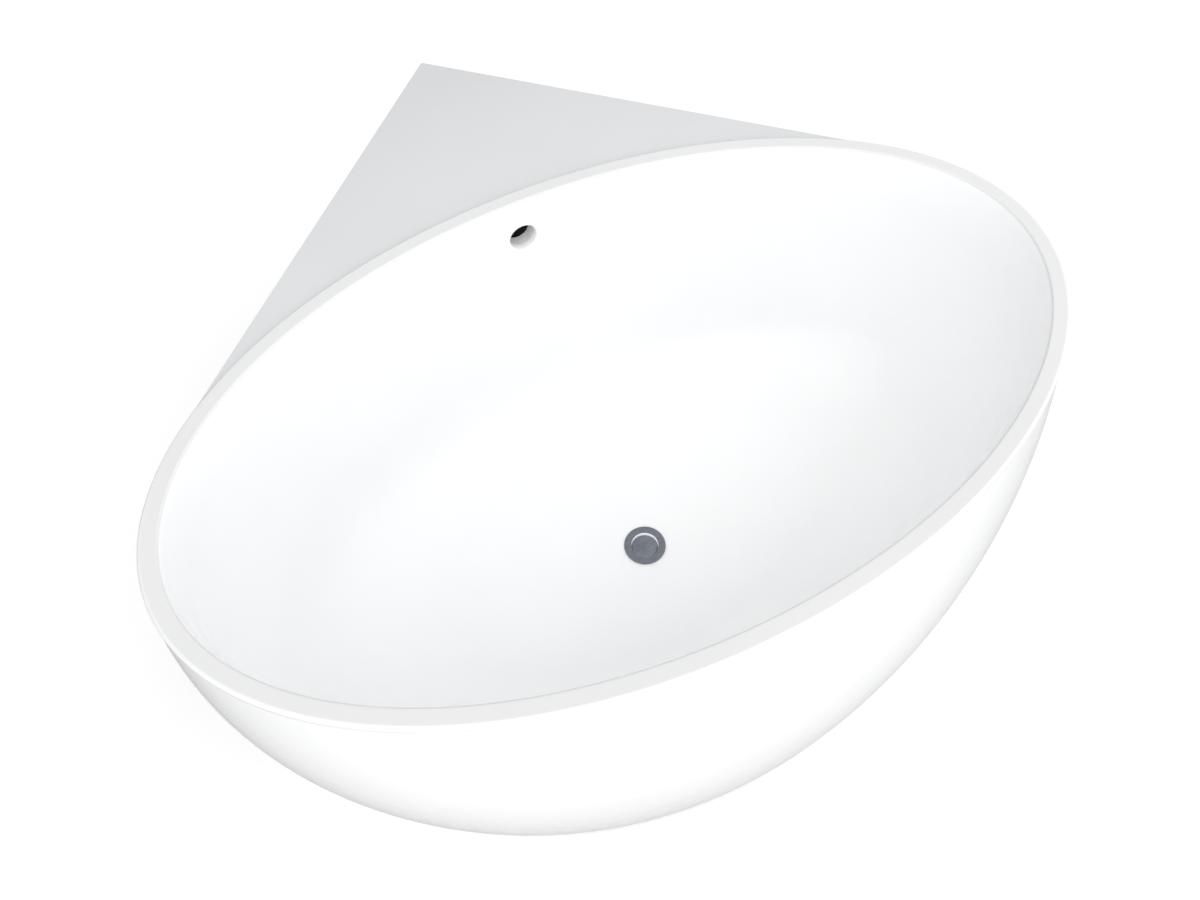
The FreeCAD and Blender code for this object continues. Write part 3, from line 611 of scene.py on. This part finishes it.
def deck():
    """The triangular deck: straight at the walls, hollowed to follow the rim."""
    levels = [(0.0, deck_low.z)]
    for step in range(DECK_EASE_STEPS + 1):
        turn = math.pi / 2 * step / DECK_EASE_STEPS
        levels.append((DECK_ROUND * (1 - math.cos(turn)),
                       deck_high.z - DECK_ROUND * (1 - math.sin(turn))))
    bm = bmesh.new()
    rows = [[bm.verts.new((x, y, z)) for x, y in deck_outline(inset)] for inset, z in levels]
    bm.faces.new(rows[0])
    bm.faces.new(rows[-1])
    for lower, upper in zip(rows, rows[1:]):
        bridge(bm, lower, upper)
    piece("deck", to_mesh("deck", bm, sharp_angle=20), (DECK,), "bath", ["corner_deck"])


# ---- waste and overflow ----
def waste_ring():
    """The waste: a flat ring with eased edges, and the sleeve with its seat."""
    centre = Vector((0, OVAL_Y + WASTE_Y, 0))
    outer = (flange_high.x - flange_low.x) / 2
    top, foot = flange_high.z, flange_low.z
    bore, seat, thread = 0.0259, 0.0215, 0.0283
    seat_z, under = top - 0.011, top - 0.002
    corner, hair = 0.0011, 1e-6
    points = [(bore, seat_z, 0), (seat, seat_z, 1), (seat, foot, 1), (thread, foot, 1),
              (thread, under, 0), (outer, under, 0), (outer, top, 1), (bore, top, 1)]
    # The bore's faces take the glowing liner, painted light in the recess.
    mesh = turned_mesh("waste_ring", rounded(points, corner), centre,
                       second=lambda point: abs(point[0] - bore) < hair)
    piece("waste_ring", mesh, (SHADED_WASTE_CHROME, GLOWING_LINER), "bath", ["waste_flange"])


def plug():
    """The domed plug, with a narrow rubber lip round its eased edge: a real seal whose dark
    line also serves as painted shade for the gap at the plug's edge.
    """
    centre = Vector((0, OVAL_Y + WASTE_Y, 0))
    radius = (cap_high.x - cap_low.x) / 2
    rise = 0.004
    ball = (radius ** 2 + rise ** 2) / (2 * rise)
    edge_z = cap_high.z - rise
    middle = 0.0002         # radius of the pinhole left on the axis
    outline = [(middle, cap_low.z), (radius - 0.0008, cap_low.z), (radius, cap_low.z + 0.0006)]
    outline += [(radius, edge_z - 0.0004), (radius - 0.0003, edge_z)]
    for k in range(1, DOME_STEPS + 1):
        r = (radius - 2 * middle) * (1 - k / DOME_STEPS) + middle
        outline.append((r, cap_high.z - ball + math.sqrt(ball ** 2 - r ** 2)))
    # The rubber lip is partly a real seal and partly painted shade, a dark line where the gap's
    # shadow falls.
    lip_width, lip_depth = 0.0012, 0.001
    mesh = turned_mesh("plug_dome", outline, centre, second=lambda point:
                       point[0] > radius - lip_width and point[1] > edge_z - lip_depth)
    piece("plug_dome", mesh, (SHADED_WASTE_CHROME, RUBBER), "plug", ["plug_cap"])


def overflow_ring():
    """The sleeve that lines the overflow hole, with a flared mouth."""
    centre = Vector((0, 0, OVERFLOW_Z))
    bore = OVERFLOW_R - SLEEVE_WALL
    front, back = sleeve_low.y, sleeve_high.y + SLEEVE_RUN
    straight, outer_end, inner_end = front + 0.003, front + 0.0055, front + 0.008
    corner = 0.0006
    points = [(MOUTH_R - SLEEVE_WALL, front, 1), (MOUTH_R, front, 1), (MOUTH_R, straight, 0),
              (OVERFLOW_R, outer_end, 0), (OVERFLOW_R, back, 0), (bore, back, 0),
              (bore, inner_end, 1)]
    mesh = turned_mesh("overflow_ring", rounded(points, corner), centre, "y")
    piece("overflow_ring", mesh, (SLEEVE_CHROME,), "bath", ["overflow_sleeve"])


# ---- studio ----
SUN_BREADTH = 110           # degrees of sky that each light fills
WORLD_STRENGTH = 0.744      # halfway between the world's bright and dim sides
WORLD_SLOPE = (0, -0.562, 0.108)    # how it grows along X, Y and Z


def studio_floor():
    """A pale floor that takes a soft shadow but throws no light back onto the bath."""
    size = 14.0
    bpy.ops.mesh.primitive_plane_add(size=size, location=(0, 0, 0))
    floor = bpy.context.object
    floor.name = "studio_floor"
    recipe = Recipe("studio_floor", (0.972, 0.974, 0.976), 0.7)
    recipe.tint(recipe.noise(1.2, 2.0), (0.985, 0.986, 0.987))
    recipe.shader.inputs["Emission Color"].default_value = (1, 1, 1, 1)
    recipe.shader.inputs["Emission Strength"].default_value = 0.05
    floor.data.materials.append(recipe.material)
    floor.visible_diffuse = False
    floor.visible_glossy = False


def soft_sun(name, azimuth, elevation, strength):
    """Broad, even light from far off; azimuth runs to the right from the front."""
    light = bpy.data.lights.new(name, "SUN")
    light.angle = math.radians(SUN_BREADTH)
    light.energy = strength
    lamp = bpy.data.objects.new(name, light)
    lamp.rotation_euler = (math.radians(90 - elevation), 0, math.radians(azimuth))
    bpy.context.scene.collection.objects.link(lamp)


def studio_world():
    """White all round: bright in front of the bath, a little brighter above, dim behind."""
    world = bpy.data.worlds.new("studio")
    world.use_nodes = True
    nodes, links = world.node_tree.nodes, world.node_tree.links
    background = nodes["Background"]
    background.inputs["Color"].default_value = (1, 1, 1, 1)
    coords = nodes.new("ShaderNodeTexCoord")
    slope = nodes.new("ShaderNodeVectorMath")
    slope.operation = "DOT_PRODUCT"
    slope.inputs[1].default_value = WORLD_SLOPE
    level = nodes.new("ShaderNodeMath")
    level.operation = "ADD"
    level.inputs[1].default_value = WORLD_STRENGTH
    links.new(coords.outputs["Generated"], slope.inputs[0])
    links.new(slope.outputs["Value"], level.inputs[0])
    links.new(level.outputs["Value"], background.inputs["Strength"])
    bpy.context.scene.world = world


def studio_lights():
    soft_sun("front_left", azimuth=-50, elevation=35, strength=0.76)
    soft_sun("right_low", azimuth=90, elevation=20, strength=0.63)
    soft_sun("overhead", azimuth=0, elevation=90, strength=0.15)
    bpy.context.scene.view_settings.view_transform = "Standard"


def photo_camera():
    """A wide lens close above the bath, to the left of its axis and tipped a little."""
    azimuth = math.radians(-26.56)
    elevation = math.radians(58.15)
    roll = math.radians(-1.74)
    distance = 1.7178 * OVAL_A
    aim = Vector((-0.1533 * OVAL_A, OVAL_Y - 0.1241 * OVAL_A, RIM_TOP))
    away = math.cos(elevation)
    back = Vector((math.sin(azimuth) * away, -math.cos(azimuth) * away, math.sin(elevation)))
    level = Vector((math.cos(azimuth), math.sin(azimuth), 0))
    over = back.cross(level)
    right = level * math.cos(roll) + over * math.sin(roll)
    up = over * math.cos(roll) - level * math.sin(roll)
    data = bpy.data.cameras.new("photo_camera")
    data.lens = 27.0
    data.clip_start = 0.02
    camera = bpy.data.objects.new("photo_camera", data)
    bpy.context.scene.collection.objects.link(camera)
    turn = Matrix((right, up, back)).transposed()
    camera.matrix_world = Matrix.Translation(aim + back * distance) @ turn.to_4x4()
    bpy.context.scene.camera = camera


dress_cad_nodes()
tub()
skirt()
deck()
waste_ring()
plug()
overflow_ring()
studio_floor()
studio_world()
studio_lights()
photo_camera()

bpy.context.view_layer.update()
